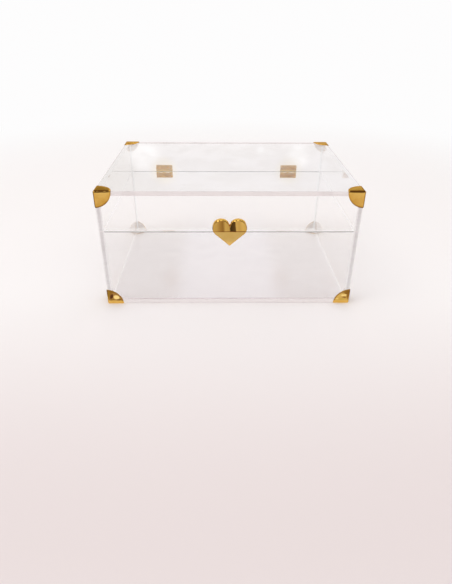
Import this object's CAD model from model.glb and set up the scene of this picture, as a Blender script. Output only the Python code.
import math
from itertools import product

import bmesh
import bpy
from mathutils import Matrix, Vector


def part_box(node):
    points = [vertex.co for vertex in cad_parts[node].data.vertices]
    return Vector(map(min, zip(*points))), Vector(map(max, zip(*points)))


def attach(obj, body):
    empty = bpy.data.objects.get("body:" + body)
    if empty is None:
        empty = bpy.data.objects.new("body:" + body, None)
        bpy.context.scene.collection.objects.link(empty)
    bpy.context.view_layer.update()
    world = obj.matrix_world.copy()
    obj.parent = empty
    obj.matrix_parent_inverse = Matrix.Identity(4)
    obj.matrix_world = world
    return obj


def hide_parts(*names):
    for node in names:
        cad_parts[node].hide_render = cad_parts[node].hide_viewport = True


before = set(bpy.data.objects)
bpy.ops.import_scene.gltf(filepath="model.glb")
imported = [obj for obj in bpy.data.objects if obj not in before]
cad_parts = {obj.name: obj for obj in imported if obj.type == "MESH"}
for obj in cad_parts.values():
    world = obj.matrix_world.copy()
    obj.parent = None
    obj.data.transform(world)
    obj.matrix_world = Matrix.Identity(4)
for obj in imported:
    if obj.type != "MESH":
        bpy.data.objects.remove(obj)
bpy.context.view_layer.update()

MM = 0.001

# ---- Sizes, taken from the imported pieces

BOTTOM_LOW, BOTTOM_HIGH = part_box("base_bottom_panel")
LID_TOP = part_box("lid_top_panel")[1].z
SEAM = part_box("base_front_panel")[1].z
HALF_W = BOTTOM_HIGH.x
HALF_D = BOTTOM_HIGH.y
WALL = BOTTOM_HIGH.z - BOTTOM_LOW.z
CAP_T = BOTTOM_LOW.z
CAP_LOW, CAP_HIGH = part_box("base_cap_front_left")
CAP_REACH = CAP_HIGH.x - CAP_LOW.x
HEART_LOW, HEART_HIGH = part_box("heart_backer")
FACE_LOW, FACE_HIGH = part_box("heart_face")

# ---- Shader nodes written as expressions


class Value:
    """One output socket, so that arithmetic on it adds Math nodes."""

    def __init__(self, tree, socket):
        self.tree = tree
        self.socket = socket

    def math(self, operation, *operands):
        return self.tree.node("ShaderNodeMath", {"operation": operation}, dict(enumerate(operands)))

    def __add__(self, other):
        return self.math("ADD", self, other)

    def __sub__(self, other):
        return self.math("SUBTRACT", self, other)

    def __rsub__(self, other):
        return self.math("SUBTRACT", other, self)

    def __mul__(self, other):
        return self.math("MULTIPLY", self, other)

    def __truediv__(self, other):
        return self.math("DIVIDE", self, other)

    def __rtruediv__(self, other):
        return self.math("DIVIDE", other, self)

    def __abs__(self):
        return self.math("ABSOLUTE", self)

    def at_least(self, other):
        return self.math("MAXIMUM", self, other)

    def step(self, low, high, start=0.0, end=1.0):
        """Rises smoothly from start to end as the value goes from low to high."""
        return self.tree.node(
            "ShaderNodeMapRange",
            {"interpolation_type": "SMOOTHSTEP"},
            {"Value": self, "From Min": low, "From Max": high, "To Min": start, "To Max": end},
        )

    __radd__ = __add__
    __rmul__ = __mul__


# The colour sockets of a Mix node, whose names are shared by its other kinds of socket
MIX_A, MIX_B, MIX_RESULT = 6, 7, 2


class Tree:
    """The node tree of a material or of the world."""

    def __init__(self, owner):
        owner.use_nodes = True
        self.nodes = owner.node_tree.nodes
        self.links = owner.node_tree.links
        self.nodes.clear()

    def node(self, kind, settings=None, sockets=None, output=0):
        """Adds a node, with its settings first and its sockets' values or links after."""
        made = self.nodes.new(kind)
        for name, setting in (settings or {}).items():
            if name == "stops":
                for stop, (place, colour) in zip(ramp_stops(made, len(setting)), setting):
                    stop.position = place
                    stop.color = (*colour, 1.0)
            else:
                setattr(made, name, setting)
        for name, value in (sockets or {}).items():
            socket = made.inputs[name]
            if isinstance(value, Value):
                self.links.new(value.socket, socket)
            elif socket.type == "RGBA" and len(value) == 3:
                socket.default_value = (*value, 1.0)
            else:
                socket.default_value = value
        return Value(self, made.outputs[output])

    def mix(self, factor, first, second):
        """Blends two colours."""
        return self.node(
            "ShaderNodeMix",
            {"data_type": "RGBA"},
            {"Factor": factor, MIX_A: first, MIX_B: second},
            MIX_RESULT,
        )

    def mix_shader(self, factor, first, second):
        return self.node("ShaderNodeMixShader", {}, {0: factor, 1: first, 2: second})

    def emission(self, colour, strength=1.0):
        return self.node("ShaderNodeEmission", {}, {"Color": colour, "Strength": strength})

    def noise(self, place, scale, detail, roughness=0.5):
        return self.node(
            "ShaderNodeTexNoise",
            {},
            {"Vector": place, "Scale": scale, "Detail": detail, "Roughness": roughness},
        )

    def object_place(self):
        return self.node("ShaderNodeTexCoord", {}, {}, "Object")

    def stretched(self, place, scale):
        return self.node("ShaderNodeVectorMath", {"operation": "MULTIPLY"}, {0: place, 1: scale})

    def length(self, place):
        return self.node("ShaderNodeVectorMath", {"operation": "LENGTH"}, {0: place}, "Value")

    def distance(self, place, other):
        return self.node("ShaderNodeVectorMath", {"operation": "DISTANCE"}, {0: place, 1: other}, "Value")

    def axes(self, place):
        made = self.node("ShaderNodeSeparateXYZ", {}, {0: place})
        return [Value(self, made.socket.node.outputs[i]) for i in range(3)]

    def ray(self, kind):
        return self.node("ShaderNodeLightPath", {}, {}, kind)

    def reflected(self):
        """1 for a ray that last bounced off a polished surface, without passing through it."""
        return self.ray("Is Glossy Ray") * (1.0 - self.ray("Is Transmission Ray"))

    def bump(self, height, distance):
        return self.node("ShaderNodeBump", {}, {"Height": height, "Distance": distance, "Strength": 1.0})

    def end(self, shader, kind="ShaderNodeOutputMaterial"):
        output = self.nodes.new(kind)
        self.links.new(shader.socket, output.inputs["Surface"])


def ramp_stops(ramp_node, count):
    """The ramp's stops, as many as are asked for."""
    stops = ramp_node.color_ramp.elements
    while len(stops) < count:
        stops.new(1.0)
    return stops


def material(name):
    """A new material and the tree to paint it in."""
    made = bpy.data.materials.new(name)
    return made, Tree(made)


def principled(tree, sockets):
    tree.end(tree.node("ShaderNodeBsdfPrincipled", {}, sockets))


# ---- Finishes

ACRYLIC_IOR = 1.49


def clear_acrylic():
    made, tree = material("clear_acrylic")
    place = tree.object_place()
    haze = tree.noise(place, 18.0, 4.0, 0.6).step(0.5, 0.8)
    principled(tree, {
        "Base Color": tree.mix(haze, (1.0, 0.999, 1.0), (0.996, 0.994, 0.996)),
        "Roughness": 0.0,
        "IOR": ACRYLIC_IOR,
        "Transmission Weight": 1.0,
    })
    return made


def scuffed_acrylic():
    """The tub's floor, finely scuffed by the cards that slide on it."""
    made, tree = material("scuffed_acrylic")
    scuffs = tree.noise(tree.stretched(tree.object_place(), (30.0, 60.0, 30.0)), 1.0, 4.0, 0.65)
    principled(tree, {
        "Base Color": tree.mix(scuffs.step(0.4, 0.7), (1.0, 0.999, 1.0), (0.99, 0.986, 0.988)),
        "Roughness": scuffs.step(0.3, 0.7, 0.19, 0.23),
        "IOR": ACRYLIC_IOR,
        "Transmission Weight": 1.0,
    })
    return made


def sawn_edge(name, milk, glow, least, most):
    """A sheet's sawn edge: partly clear and partly milky, and lit through when seen from within."""
    made, tree = material(name)
    saw = tree.noise(tree.stretched(tree.object_place(), (40.0, 40.0, 900.0)), 1.0, 3.0, 0.6)
    clear = tree.node("ShaderNodeBsdfPrincipled", {}, {
        "Base Color": (0.99, 0.985, 0.988),
        "Roughness": 0.0,
        "IOR": ACRYLIC_IOR,
        "Transmission Weight": 1.0,
    })
    frosted = tree.node("ShaderNodeBsdfPrincipled", {}, {"Base Color": milk, "Roughness": 0.35})
    lit = tree.emission(milk, glow)
    within = tree.node("ShaderNodeNewGeometry", {}, {}, "Backfacing")
    milky = tree.mix_shader(within, frosted, lit)
    tree.end(tree.mix_shader(saw.step(0.3, 0.7, least, most), clear, milky))
    return made


def cement(name, tint, least, most, lit=False):
    """The cement film in a joint, clouded here and there, and lit where the sheet pipes light to it."""
    made, tree = material(name)
    cloud = tree.noise(tree.object_place(), 60.0, 3.0, 0.6)
    film = tree.node("ShaderNodeBsdfTransparent", {}, {"Color": (0.98, 0.97, 0.975)})
    clouding = tree.emission(tint) if lit else tree.node("ShaderNodeBsdfDiffuse", {}, {"Color": tint})
    tree.end(tree.mix_shader(cloud.step(0.3, 0.7, least, most), film, clouding))
    return made


def polished_gold(name, low, high, roughness, wiping, waviness):
    """Gold plate: its tone drifts a little, and the stamped sheet is faintly wavy."""
    made, tree = material(name)
    place = tree.object_place()
    drift = tree.noise(place, 90.0, 3.0).step(0.35, 0.7)
    wipe = tree.noise(tree.stretched(place, (900.0, 900.0, 120.0)), 1.0, 3.0, 0.6)
    waves = tree.noise(place, 170.0, 1.0)
    principled(tree, {
        "Base Color": tree.mix(drift, low, high),
        "Metallic": 1.0,
        "Specular Tint": (0.94, 0.76, 0.46),
        "Roughness": wipe.step(0.3, 0.75, roughness, roughness + wiping),
        "Normal": tree.bump(waves, waviness),
    })
    return made


FOLD_SHADE = 2.0 * MM     # how far the shade in a cap's upright fold reaches


def cap_lining():
    """The unplated inner face of a cap, seen through the acrylic."""
    made, tree = material("cap_lining")
    place = tree.object_place()
    blotch = tree.noise(place, 260.0, 4.0, 0.65).step(0.3, 0.7)
    x, y = tree.axes(place)[:2]
    crease = abs(x).step(HALF_W - FOLD_SHADE, HALF_W) * abs(y).step(HALF_D - FOLD_SHADE, HALF_D)
    worn = tree.mix(blotch, (0.70, 0.66, 0.63), (0.84, 0.81, 0.78))
    principled(tree, {
        "Base Color": tree.mix(crease, worn, (0.30, 0.25, 0.21)),
        "Metallic": 0.5,
        "Roughness": blotch * 0.15 + 0.38,
        "Normal": tree.bump(blotch, 0.02 * MM),
    })
    return made


def brushed_brass():
    made, tree = material("brushed_brass")
    place = tree.object_place()
    strokes = tree.noise(tree.stretched(place, (60.0, 2500.0, 2500.0)), 1.0, 3.0, 0.6)
    tone = tree.noise(place, 160.0, 2.0).step(0.35, 0.7)
    principled(tree, {
        "Base Color": tree.mix(tone, (0.58, 0.34, 0.06), (0.70, 0.46, 0.12)),
        "Metallic": 1.0,
        "Roughness": strokes.step(0.3, 0.7, 0.2, 0.36),
        "Normal": tree.bump(strokes, 0.01 * MM),
    })
    return made


def tape():
    """Translucent adhesive film with the brass showing warmly through it."""
    made, tree = material("tape")
    place = tree.object_place()
    wetting = tree.noise(place, 240.0, 3.0, 0.6).step(0.42, 0.6)
    principled(tree, {
        "Base Color": tree.mix(wetting, (0.30, 0.09, 0.0), (0.52, 0.22, 0.0)),
        "Roughness": wetting * 0.2 + 0.45,
        "Specular IOR Level": 0.0,
    })
    return made


ACRYLIC = clear_acrylic()
SCUFFED = scuffed_acrylic()
SHEET_EDGE = sawn_edge("sheet_edge", (0.84, 0.785, 0.78), 1.02, 0.7, 0.8)
DARK_STRIPE = sawn_edge("dark_stripe", (0.71, 0.70, 0.71), 1.0, 0.7, 0.8)
PALE_STRIPE = sawn_edge("pale_stripe", (0.90, 0.90, 0.90), 0.95, 0.7, 0.8)
RIM_EDGE = sawn_edge("rim_edge", (0.16, 0.145, 0.145), 1.0, 0.75, 0.95)
CLOUDED_CEMENT = cement("clouded_cement", (0.93, 0.865, 0.86), 0.28, 0.42)
THICK_CEMENT = cement("thick_cement", (0.90, 0.86, 0.855), 0.5, 0.65)
LIT_CEMENT = cement("lit_cement", (0.95, 0.925, 0.92), 0.7, 0.9, True)
CAP_GOLD = polished_gold("cap_gold", (0.66, 0.385, 0.085), (0.73, 0.45, 0.12), 0.03, 0.05, 0.14 * MM)
HEART_GOLD = polished_gold("heart_gold", (0.77, 0.48, 0.12), (0.81, 0.52, 0.145), 0.0, 0.015, 0.004 * MM)
LINING = cap_lining()
BRASS = brushed_brass()
TAPE = tape()

# ---- Making pieces

SAME_POINT = 0.001 * MM


def piece(name, body, stands_for, verts, faces, finishes, face_finishes=None, sharp=None):
    """A closed mesh that rides on a body in place of its CAD nodes. Edges over sharp degrees stay crisp."""
    mesh = bpy.data.meshes.new(name)
    mesh.from_pydata(verts, [], faces)
    for finish in finishes:
        mesh.materials.append(finish)
    if face_finishes:
        mesh.polygons.foreach_set("material_index", [finishes.index(finish) for finish in face_finishes])
    work = bmesh.new()
    work.from_mesh(mesh)
    bmesh.ops.remove_doubles(work, verts=work.verts, dist=SAME_POINT)
    bmesh.ops.recalc_face_normals(work, faces=work.faces)
    if sharp is not None:
        limit = math.radians(sharp)
        for face in work.faces:
            face.smooth = True
        for edge in work.edges:
            edge.smooth = edge.calc_face_angle(0.0) < limit
    work.to_mesh(mesh)
    work.free()
    made = bpy.data.objects.new(name, mesh)
    bpy.context.scene.collection.objects.link(made)
    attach(made, body)
    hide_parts(*stands_for)


def loft(loops):
    """Vertices and faces of a closed form through loops of points, with a face over each end."""
    verts = [point for loop in loops for point in loop]
    faces = []
    count = len(loops[0])
    for start in range(0, len(verts) - count, count):
        for i in range(count):
            j = (i + 1) % count
            faces.append((start + i, start + j, start + count + j, start + count + i))
    faces += [tuple(range(count)), tuple(reversed(range(len(verts) - count, len(verts))))]
    return verts, faces


# ---- Acrylic: each half is one welded shell, with polished edges outside and a square inside

QUARTER_TURN = math.radians(90.0)
AIR = 0.03 * MM          # between the acrylic and whatever lies on it
SEAM_AIR = 0.06 * MM     # between each half's rim and the seam
POLISH = 0.4 * MM        # radius of the outside edges
SQUARE = 0.03 * MM       # radius of the inside corners, square to the eye
MOUTH_BREAK = 0.1 * MM
# The outer faces beside an upright corner carry what its inner faces would show through them: stripes of
# pale, dark, pale and clear. How far in from the box's side each starts
DARK_FROM, PALE_FROM, CLEAR_FROM = 1.2 * MM, 4.4 * MM, 6.1 * MM
STRIPE_STARTS = (CLEAR_FROM, PALE_FROM, DARK_FROM)
CORNER_STEPS = 3


def rectangle(inset, radius, z):
    """A loop round the box's plan, inset from its outside: small round corners and the stripes' ends."""
    reach_x = HALF_W - AIR - inset - radius
    reach_y = HALF_D - AIR - inset - radius
    loop = []
    for quarter, (side_x, side_y) in enumerate([(1, 1), (-1, 1), (-1, -1), (1, -1)]):
        corner = []
        for step in range(CORNER_STEPS + 1):
            turn = QUARTER_TURN * (quarter + step / CORNER_STEPS)
            corner.append((side_x * reach_x + radius * math.cos(turn),
                           side_y * reach_y + radius * math.sin(turn), z))
        on_end = [(side_x * (reach_x + radius), side_y * min(HALF_D - start, reach_y), z)
                  for start in STRIPE_STARTS]
        on_side = [(side_x * min(HALF_W - start, reach_x), side_y * (reach_y + radius), z)
                   for start in STRIPE_STARTS]
        before, after = (on_end, on_side) if side_x == side_y else (on_side, on_end)
        loop += before + corner + after[::-1]
    return loop


BOND_T = 0.04 * MM       # cured cement between the sheets
# A box's six sides, by the numbers of its corners as product() gives them
BOX_SIDES = ((0, 1, 3, 2), (4, 6, 7, 5), (0, 4, 5, 1), (2, 3, 7, 6), (0, 2, 6, 4), (1, 5, 7, 3))


def bond_lines(plate_z, back_cement):
    """Thin films of cement where the walls meet the plate, and where the side walls meet the front and
    back ones: the reach of each along x, y and z, and its finish."""
    up = 1.0 if SEAM > plate_z else -1.0
    clear = POLISH + AIR
    outer_x, outer_y = HALF_W - clear, HALF_D - clear
    inner_x, inner_y = HALF_W - WALL, HALF_D - WALL
    joint_z = sorted((plate_z + up * WALL, plate_z + up * (WALL + BOND_T)))
    wall_z = sorted((plate_z + up * (WALL + 2 * BOND_T), SEAM - up * clear))
    films = []
    for sign, end_cement in ((-1, CLOUDED_CEMENT), (1, back_cement)):
        across = sorted((sign * inner_y, sign * outer_y))
        films.append(((-outer_x, outer_x), across, joint_z, end_cement))
        along = sorted((sign * inner_x, sign * outer_x))
        films.append((along, (-inner_y, inner_y), joint_z, LIT_CEMENT))
        for end, corner_cement in ((-1, CLOUDED_CEMENT), (1, THICK_CEMENT)):
            joint_y = sorted((end * inner_y, end * (inner_y + BOND_T)))
            films.append((along, joint_y, wall_z, corner_cement))
    return films


def shell_finishes(rings, inside):
    """One finish for each face of a shell: its rings from the plate to the mouth and down inside, the
    plate's outside, and the plate's inside."""
    stripes = [PALE_STRIPE, DARK_STRIPE, PALE_STRIPE]
    walls = (stripes + [SHEET_EDGE] * CORNER_STEPS + stripes + [ACRYLIC]) * 4
    plate_edge = [SHEET_EDGE] * len(walls)
    clear = [ACRYLIC] * len(walls)
    rim = []
    for between_corners in (RIM_EDGE, SHEET_EDGE, RIM_EDGE, SHEET_EDGE):
        rim += [SHEET_EDGE] * (len(walls) // 4 - 1) + [between_corners]
    down_inside = rings - 2 * (CORNER_STEPS + 1)
    finishes = plate_edge * (CORNER_STEPS + 1) + walls + rim * CORNER_STEPS + clear * down_inside
    return finishes + [ACRYLIC, inside]


def welded_shell(name, body, plate, plate_z, inside, back_cement):
    """Five welded panels: the plate at plate_z, and four walls from it to the seam."""
    up = 1.0 if SEAM > plate_z else -1.0
    outside = plate_z + up * AIR
    rim = SEAM - up * SEAM_AIR
    turns = [QUARTER_TURN * i / CORNER_STEPS for i in range(CORNER_STEPS + 1)]
    profile = [(POLISH * (1 - math.sin(a)), outside + up * POLISH * (1 - math.cos(a))) for a in turns]
    profile += [(0.0, plate_z + up * WALL)]
    profile += [(POLISH * (1 - math.cos(a)), rim - up * POLISH * (1 - math.sin(a))) for a in turns]
    profile += [(WALL - MOUTH_BREAK, rim), (WALL, rim - up * MOUTH_BREAK)]
    profile += [(WALL, plate_z + up * WALL)]
    verts, faces = loft([rectangle(inset, max(POLISH - inset, SQUARE), z) for inset, z in profile])
    face_finishes = shell_finishes(len(profile) - 1, inside)
    for reach_x, reach_y, reach_z, film in bond_lines(plate_z, back_cement):
        start = len(verts)
        verts += product(reach_x, reach_y, reach_z)
        faces += [tuple(start + corner for corner in side) for side in BOX_SIDES]
        face_finishes += [film] * len(BOX_SIDES)
    panels = [f"{body}_{panel}_panel" for panel in (plate, "front", "back", "left", "right")]
    finishes = [ACRYLIC, SHEET_EDGE, RIM_EDGE, CLOUDED_CEMENT, LIT_CEMENT, SCUFFED,
                DARK_STRIPE, PALE_STRIPE, THICK_CEMENT]
    piece(name, body, panels, verts, faces, finishes, face_finishes)


welded_shell("tub_shell", "base", "bottom", CAP_T, SCUFFED, LIT_CEMENT)
welded_shell("lid_shell", "lid", "top", LID_TOP, ACRYLIC, CLOUDED_CEMENT)

# ---- Corner caps: three quarter-round petals of one sheet, faintly pillowed, with round folds

FOLD_R = 1.7 * MM
INNER_FOLD_R = 1.4 * MM
RIM_ROUND = 0.3 * MM
RIM_BREAK = RIM_ROUND / 3
PILLOW = 0.25 * MM
PILLOW_SPAN = 8.0 * MM
ROLL = 0.2 * MM
ROLL_SPAN = 1.1 * MM
RIM_STEPS = 3
# Where a petal's mesh lines run from its fold to its rim, closer together near both
GRID = [0.0, 0.3, 0.6, 0.9, 1.2, 1.7, 2.6, 4.0, 5.6, 7.4, 9.4, 11.6, 13.8, 16.0, 17.4, 18.4, 18.9, 19.3,
        19.7]


def fold(point, depth, radius=FOLD_R):
    """Carries a point of three square faces onto their round folds, then depth into the metal."""
    core = Vector([max(c, radius) for c in point])
    out = (point - core).normalized()
    return core + out * (radius - depth)


def sinking(to_rim, to_fold):
    """How far a petal's face lies below its flat: pillowed, over half the span at a fold, and rolled
    over at the free rim."""
    pillow = PILLOW * max(1.0 - min(to_rim, 2.0 * to_fold) / PILLOW_SPAN, 0.0) ** 2
    return pillow + ROLL * max(1.0 - to_rim / ROLL_SPAN, 0.0) ** 2


def petal_point(k, x, y):
    """A point of the petal that lies square to the axis before axis k."""
    point = Vector((0.0, 0.0, 0.0))
    point[k] = x
    point[(k + 1) % 3] = y
    return point


def cap_mesh():
    """Vertices, faces and their finishes for a cap whose outer corner is the origin."""
    verts = []
    faces = []
    face_finishes = []
    face_r = CAP_REACH - RIM_ROUND
    shares = [g / GRID[-1] for g in GRID]
    last = len(shares) - 1

    def add(point):
        verts.append(point)
        return len(verts) - 1

    def quads(rows, finish):
        for low, high in zip(rows, rows[1:]):
            for i in range(len(low) - 1):
                faces.append((low[i], low[i + 1], high[i + 1], high[i]))
                face_finishes.append(finish)

    for k in range(3):
        # A square grid, drawn in to a quarter disc
        plan = [[(face_r * a * math.sqrt(1 - b * b / 2), face_r * b * math.sqrt(1 - a * a / 2))
                 for a in shares] for b in shares]
        outer = []
        inner = []
        for row in plan:
            outer.append([])
            inner.append([])
            for x, y in row:
                sunk = sinking(max(face_r - math.hypot(x, y), 0.0), min(x, y))
                outer[-1].append(add(fold(petal_point(k, x, y), sunk)))
                inner[-1].append(add(fold(petal_point(k, x, y), CAP_T, INNER_FOLD_R)))
        quads(outer, CAP_GOLD)
        quads(inner, LINING)
        edge = [(last, j) for j in range(last + 1)] + [(i, last) for i in range(last - 1, -1, -1)]
        rim = [[outer[j][i] for i, j in edge]]
        profile = []
        for s in range(1, RIM_STEPS + 1):
            turn = QUARTER_TURN * s / RIM_STEPS
            profile.append((face_r + RIM_ROUND * math.sin(turn), RIM_ROUND * (1 - math.cos(turn)), True))
        profile += [(CAP_REACH, CAP_T - RIM_BREAK, False), (CAP_REACH - RIM_BREAK, CAP_T, False)]
        for radius, depth, outside in profile:
            row = []
            for i, j in edge:
                x, y = plan[j][i]
                sunk = depth + (sinking(0.0, min(x, y)) if outside else 0.0)
                place = petal_point(k, x * radius / face_r, y * radius / face_r)
                row.append(add(fold(place, sunk, FOLD_R if outside else INNER_FOLD_R)))
            rim.append(row)
        rim.append([inner[j][i] for i, j in edge])
        quads(rim, CAP_GOLD)
    return verts, faces, face_finishes


CAP_VERTS, CAP_FACES, CAP_FINISHES = cap_mesh()
CAP_FOOT, CAP_TOP = CAP_LOW.z, LID_TOP + CAP_T
SIDES = {"left": -1, "right": 1}
ENDS = {"front": -1, "back": 1}

for (body, z, up), (end, end_sign), (side, side_sign) in product(
        (("base", CAP_FOOT, 1), ("lid", CAP_TOP, -1)), ENDS.items(), SIDES.items()):
    corner = Vector((side_sign * (HALF_W + CAP_T), end_sign * (HALF_D + CAP_T), z))
    inward = Vector((-side_sign, -end_sign, up))
    placed = [corner + inward * v for v in CAP_VERTS]
    piece(f"corner_cap_{body}_{end}_{side}", body, [f"{body}_cap_{end}_{side}"],
          placed, CAP_FACES, [CAP_GOLD, LINING], CAP_FINISHES, sharp=35)

# ---- Heart pull: two laminated layers, the front one with a polished chamfer

LOBE_R = 10.0 * MM
LOBE_X = HEART_HIGH.x - LOBE_R
LOBE_Z = HEART_HIGH.z - LOBE_R
TIP_Z = HEART_LOW.z
HEART_CHAMFER = 0.6 * MM
LAMINATE_BREAK = 0.12 * MM
LOBE_STEPS = 56
FLANK_LEAN = math.atan2(LOBE_X, LOBE_Z - TIP_Z) + math.asin(LOBE_R / math.hypot(LOBE_X, LOBE_Z - TIP_Z))


def heart_loop(inset, y):
    """The heart's outline, inset by a little, from the tip up its right-hand side and back down."""
    radius = LOBE_R - inset
    notch = math.acos(-LOBE_X / LOBE_R)
    right = []
    for step in range(LOBE_STEPS + 1):
        turn = -FLANK_LEAN + (notch + FLANK_LEAN) * step / LOBE_STEPS
        right.append((LOBE_X + radius * math.cos(turn), LOBE_Z + radius * math.sin(turn)))
    cusp_z = LOBE_Z + LOBE_R * math.sin(notch)
    halfway = (notch - math.pi) * 0.5 - QUARTER_TURN / 2
    right.append((inset * math.cos(halfway), cusp_z + inset * math.sin(halfway)))
    valley = (0.0, cusp_z - inset)
    tip = (0.0, TIP_Z + inset / math.sin(FLANK_LEAN))
    outline = [tip] + right + [valley] + [(-x, z) for x, z in reversed(right)]
    return [(x, y, z) for x, z in outline]


def heart_layer(name, node, back_y, front_y, front_break):
    profile = [(LAMINATE_BREAK, back_y), (0.0, back_y - LAMINATE_BREAK), (0.0, front_y + front_break),
               (front_break, front_y)]
    verts, faces = loft([heart_loop(inset, y) for inset, y in profile])
    piece(name, "lid", [node], verts, faces, [HEART_GOLD], sharp=25)


heart_layer("heart_back_layer", "heart_backer", HEART_HIGH.y, HEART_LOW.y, LAMINATE_BREAK)
heart_layer("heart_front_layer", "heart_face", FACE_HIGH.y, FACE_LOW.y, HEART_CHAMFER)

# ---- Hinges and adhesive: the CAD pieces keep their shape and get their finish


def finish_node(name, finish):
    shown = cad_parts[name]
    shown.data.materials.clear()
    shown.data.materials.append(finish)


for node_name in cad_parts:
    if node_name.endswith(("_leaf", "_pin")):
        finish_node(node_name, BRASS)
    if node_name.endswith(("_film", "_pad")):
        finish_node(node_name, TAPE)

# ---- Studio, in metres: a pale floor, a soft dome and a soft lamp. What polished surfaces show of the
# floor and the dome is laid out by hand, and neither the camera nor matt surfaces see it.

FLOOR_HALF = 14.0
BACKDROP = (0.985, 0.98, 0.982)
PALE_MIRROR = (0.9, 0.86, 0.84)
CAP_MIRROR_FAR, CAP_MIRROR_NEAR = -0.9, -0.12
# The floor as the caps show it, from far in front of the box to near it: share of the way, colour
CAP_MIRROR = [
    (0.0, (1.02, 0.98, 0.98)),
    (0.4, (0.98, 0.96, 0.96)),
    (0.6, (0.90, 0.82, 0.72)),
    (0.72, (0.78, 0.66, 0.42)),
    (0.8, (0.40, 0.32, 0.20)),
    (0.93, (0.40, 0.30, 0.20)),
]
# Spots painted on the floor for the bottom caps to show: middle, half sizes, colour
CAP_CLUTTER = [
    ((-0.1435, -0.1250), (0.0110, 0.0300), (0.58, 0.50, 0.62)),
    ((-0.1590, -0.1370), (0.0055, 0.0190), (0.46, 0.42, 0.26)),
    ((-0.1500, -0.1330), (0.0028, 0.0080), (0.16, 0.09, 0.12)),
    ((-0.1425, -0.1310), (0.0044, 0.0068), (1.45, 1.75, 2.80)),
    ((-0.1380, -0.1242), (0.0036, 0.0014), (0.22, 0.15, 0.10)),
    ((-0.1475, -0.1238), (0.0028, 0.0013), (0.42, 0.38, 0.20)),
    ((0.1420, -0.1250), (0.0120, 0.0300), (0.92, 0.92, 0.92)),
    ((0.1500, -0.1345), (0.0048, 0.0032), (1.40, 1.65, 2.50)),
    ((0.1485, -0.1280), (0.0034, 0.0018), (0.44, 0.34, 0.34)),
    ((0.1380, -0.1258), (0.0026, 0.0026), (1.30, 1.50, 2.20)),
    ((0.1445, -0.1238), (0.0040, 0.0015), (0.80, 0.92, 0.70)),
]
CLUTTER_CORE, CLUTTER_RIM = 0.7, 1.15
STRIPES_LEFT, STRIPES_SPAN = 0.03, 0.07
STRIPES_END = (-0.3475, -0.3455)
# The floor's stripes as the heart shows them, from left to right: share of the way, colour
HEART_STRIPES = [
    (0.0, (0.72, 0.66, 0.6)),
    (0.2, (0.68, 0.62, 0.56)),
    (0.29, (0.48, 0.38, 0.30)),
    (0.36, (0.36, 0.27, 0.20)),
    (0.42, (0.74, 0.7, 0.68)),
    (0.51, (0.66, 0.6, 0.56)),
    (0.54, (0.07, 0.055, 0.05)),
    (0.66, (0.14, 0.11, 0.1)),
    (0.68, (0.8, 0.76, 0.74)),
    (0.76, (0.7, 0.64, 0.6)),
    (0.84, (0.86, 0.82, 0.78)),
    (1.0, (0.6, 0.55, 0.5)),
]


def heart_mirror(tree, x, y):
    """What the heart shows of the floor: pale bands, and one of stripes that ends in a dark line."""
    shown = tree.mix(y.step(-0.56, -0.42), (0.92, 0.88, 0.86), (0.66, 0.60, 0.56))
    shown = tree.mix(y.step(*STRIPES_END), shown, (0.74, 0.74, 0.86))
    shown = tree.mix(y.step(-0.318, -0.296), shown, (0.95, 0.90, 0.92))
    place = (x + STRIPES_LEFT) / STRIPES_SPAN
    stripes = tree.node("ShaderNodeValToRGB", {"stops": HEART_STRIPES}, {"Fac": place})
    across = y.step(-0.42, -0.405) * y.step(*STRIPES_END, 1.0, 0.0)
    shown = tree.mix(across, shown, stripes)
    line = y.step(-0.3500, -0.3490) * y.step(-0.3470, -0.3460, 1.0, 0.0) * x.step(-0.03, 0.01, 0.35, 0.85)
    return tree.mix(line, shown, (0.22, 0.1, 0.04))


def cap_mirror(tree, x, y):
    """What the caps show of the floor: browner towards the box, and pale behind it."""
    nearer = (y - CAP_MIRROR_FAR) / (CAP_MIRROR_NEAR - CAP_MIRROR_FAR)
    shown = tree.node("ShaderNodeValToRGB", {"stops": CAP_MIRROR}, {"Fac": nearer})
    for (mid_x, mid_y), (half_x, half_y), colour in CAP_CLUTTER:
        off = tree.node("ShaderNodeVectorMath", {"operation": "MULTIPLY_ADD"}, {
            0: tree.object_place(),
            1: (1.0 / half_x, 1.0 / half_y, 0.0),
            2: (-mid_x / half_x, -mid_y / half_y, 0.0),
        })
        covered = tree.length(off).step(CLUTTER_CORE, CLUTTER_RIM, 1.0, 0.0)
        shown = tree.mix(covered, shown, colour)
    shown = tree.mix(y.step(-0.1222, -0.1208), shown, (1.05, 1.02, 1.0))
    under = tree.mix((x * x + y * y).step(0.15, 0.36), (0.36, 0.27, 0.15), PALE_MIRROR)
    shown = tree.mix(y.step(-0.112, -0.110), shown, under)
    outside = tree.mix(x.step(-0.1, 0.1), (0.15, 0.11, 0.06), (0.28, 0.22, 0.13))
    shown = tree.mix(abs(x).step(0.166, 0.18) * y.step(-0.3, -0.2), shown, outside)
    return tree.mix(y.step(0.12, 0.135), shown, PALE_MIRROR)


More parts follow.
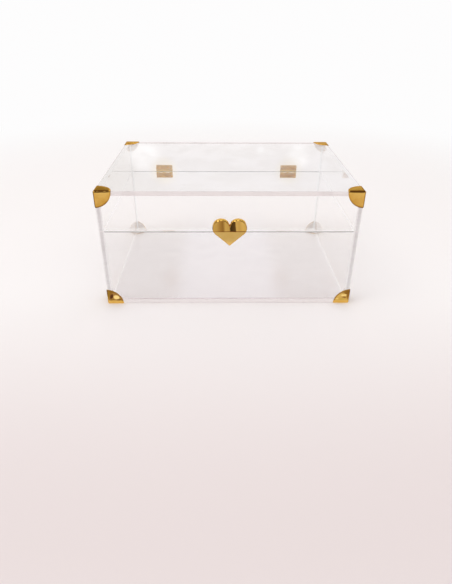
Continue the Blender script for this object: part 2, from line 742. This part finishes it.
def pale_floor():
    corners = ((-1, -1), (1, -1), (1, 1), (-1, 1))
    mesh = bpy.data.meshes.new("floor")
    mesh.from_pydata([(x * FLOOR_HALF, y * FLOOR_HALF, 0.0) for x, y in corners], [], [(0, 1, 2, 3)])
    floor = bpy.data.objects.new("floor", mesh)
    bpy.context.scene.collection.objects.link(floor)
    made, tree = material("floor")
    x, y = tree.axes(tree.object_place())[:2]
    matt = tree.node("ShaderNodeBsdfPrincipled", {}, {
        "Base Color": tree.mix(y.step(-0.45, -0.05), (0.785, 0.71, 0.705), (0.945, 0.925, 0.922)),
        "Roughness": 0.6,
        "Specular IOR Level": 0.2,
    })
    seen = tree.ray("Is Camera Ray").at_least(tree.ray("Is Transmission Ray"))
    seen = seen.at_least(tree.ray("Is Glossy Ray"))
    far = (x * x + y * y).step(0.1, 1.2) * seen
    matt = tree.mix_shader(far, matt, tree.emission(BACKDROP))
    in_metal = tree.mix(abs(x).step(0.05, 0.08), heart_mirror(tree, x, y), cap_mirror(tree, x, y))
    in_metal = tree.mix(y.step(-1.3, -0.9), (0.08, 0.065, 0.055), in_metal)
    tree.end(tree.mix_shader(tree.reflected(), matt, tree.emission(in_metal)))
    mesh.materials.append(made)


GLOW_CORE, GLOW_STRENGTH = 0.3, 0.9
# Glows painted on the dome for the top plate to show, the last two over the hinges: direction, size, colour
PLATE_GLOWS = [
    ((-0.146, 0.957, 0.252), 0.040, (1.25, 1.25, 1.25)),
    ((0.160, 0.954, 0.254), 0.030, (1.25, 1.25, 1.25)),
    ((0.086, 0.966, 0.245), 0.010, (1.0, 1.0, 1.0)),
    ((-0.109, 0.953, 0.284), 0.034, (0.84, 0.66, 0.30)),
    ((0.143, 0.949, 0.282), 0.034, (0.62, 0.48, 0.20)),
]


def dome_mirror(tree):
    """The height on the dome, and what polished surfaces show of it by direction."""
    direction = tree.node("ShaderNodeTexCoord", {}, {}, "Generated")
    x, y, z = tree.axes(direction)
    low_back = tree.mix(x.step(-0.24, -0.05), (0.40, 0.36, 0.28), (0.70, 0.69, 0.72))
    low_back = tree.mix(z.step(0.2, 0.3), (0.98, 0.93, 0.91), low_back)
    shown = tree.mix(z.step(0.35, 0.41), low_back, (0.13, 0.06, 0.035))
    skylight = abs(x).step(0.09, 0.15, 1.0, 0.0) * z.step(0.35, 0.37) * z.step(0.46, 0.5, 1.0, 0.0)
    shown = tree.mix(skylight, shown, (1.3, 1.25, 1.1))
    shown = tree.mix(abs(x).step(0.31, 0.36), shown, (0.2, 0.15, 0.1))
    shown = tree.mix(abs(x).step(0.6, 0.8), shown, (0.75, 0.70, 0.67))
    clutter = tree.noise(tree.stretched(direction, (1.0, 1.0, 2.5)), 16.0, 3.0, 0.6)
    glints = abs(x).step(0.15, 0.19, 1.0, 0.0) * z.step(0.46, 0.5) * z.step(0.9, 0.94, 1.0, 0.0)
    shown = tree.mix(glints * clutter.step(0.35, 0.5), shown, (2.6, 2.4, 2.0))
    shown = tree.mix(z.step(0.14, 0.22), (0.5, 0.40, 0.28), shown)
    for place, size, colour in PLATE_GLOWS:
        glow = tree.distance(direction, place).step(GLOW_CORE * size, size, GLOW_STRENGTH, 0.0)
        shown = tree.mix(glow, shown, colour)
    front = tree.mix(z.step(0.25, 0.4), (0.5, 0.46, 0.43), (0.13, 0.08, 0.05))
    shown = tree.mix(y.step(-0.2, 0.0), front, shown)
    shown = tree.mix(clutter.step(0.42, 0.6) * 0.25, shown, (0.25, 0.2, 0.13))
    shown = tree.mix(z.step(0.965, 0.985), shown, (0.6, 0.56, 0.53))
    softbox = z.step(0.8, 0.84) * abs(x).step(0.16, 0.24, 1.0, 0.0) * y.step(-0.22, -0.16, 1.0, 0.0)
    return z, tree.mix(softbox, shown, (1.25, 1.2, 1.1))


def soft_dome():
    world = bpy.data.worlds.new("dome")
    bpy.context.scene.world = world
    tree = Tree(world)
    z, shown = dome_mirror(tree)
    through = tree.mix(z.step(0.42, 0.55), BACKDROP, (0.78, 0.735, 0.745))
    level = tree.mix(tree.ray("Is Camera Ray"), (0.98, 0.955, 0.95), BACKDROP)
    level = tree.mix(tree.ray("Is Transmission Ray"), level, through)
    level = tree.mix(tree.reflected(), level, shown)
    background = tree.node("ShaderNodeBackground", {}, {"Color": level, "Strength": 1.0})
    tree.end(background, "ShaderNodeOutputWorld")


def soft_lamp(name, place, aim, size, power):
    lamp = bpy.data.lights.new(name, "AREA")
    lamp.shape = "DISK"
    lamp.size = size
    lamp.energy = power
    made = bpy.data.objects.new(name, lamp)
    bpy.context.scene.collection.objects.link(made)
    made.location = place
    made.rotation_euler = (Vector(aim) - Vector(place)).to_track_quat("-Z", "Y").to_euler()


pale_floor()
soft_dome()
soft_lamp("key", (-1.2, -0.6, 2.2), (0.0, 0.0, 0.07), 1.0, 6.0)

# ---- Camera

FRAME_LONG = 584.0       # pixels on the frame's long side
FOCAL_PX = 475.94
CAMERA_PLACE = (-13.32 * MM, -618.95 * MM, 318.31 * MM)
CAMERA_DOWN = math.radians(30.80)
CAMERA_TURN = math.radians(-1.10)
CAMERA_ROLL = math.radians(0.43)

lens = bpy.data.cameras.new("camera")
lens.sensor_width = 36.0
lens.lens = lens.sensor_width * FOCAL_PX / FRAME_LONG
lens.clip_start = 0.01
camera = bpy.data.objects.new("camera", lens)
bpy.context.scene.collection.objects.link(camera)
camera.location = CAMERA_PLACE
camera.rotation_euler = (
    Matrix.Rotation(CAMERA_TURN, 3, "Z")
    @ Matrix.Rotation(QUARTER_TURN - CAMERA_DOWN, 3, "X")
    @ Matrix.Rotation(CAMERA_ROLL, 3, "Z")
).to_euler()
bpy.context.scene.camera = camera
bpy.context.scene.view_settings.view_transform = "Standard"

BOUNCES = 64             # many faces of clear sheet lie behind each other

cycles = bpy.context.scene.cycles
cycles.blur_glossy = 0.0
cycles.max_bounces = BOUNCES
cycles.transmission_bounces = BOUNCES
cycles.glossy_bounces = BOUNCES
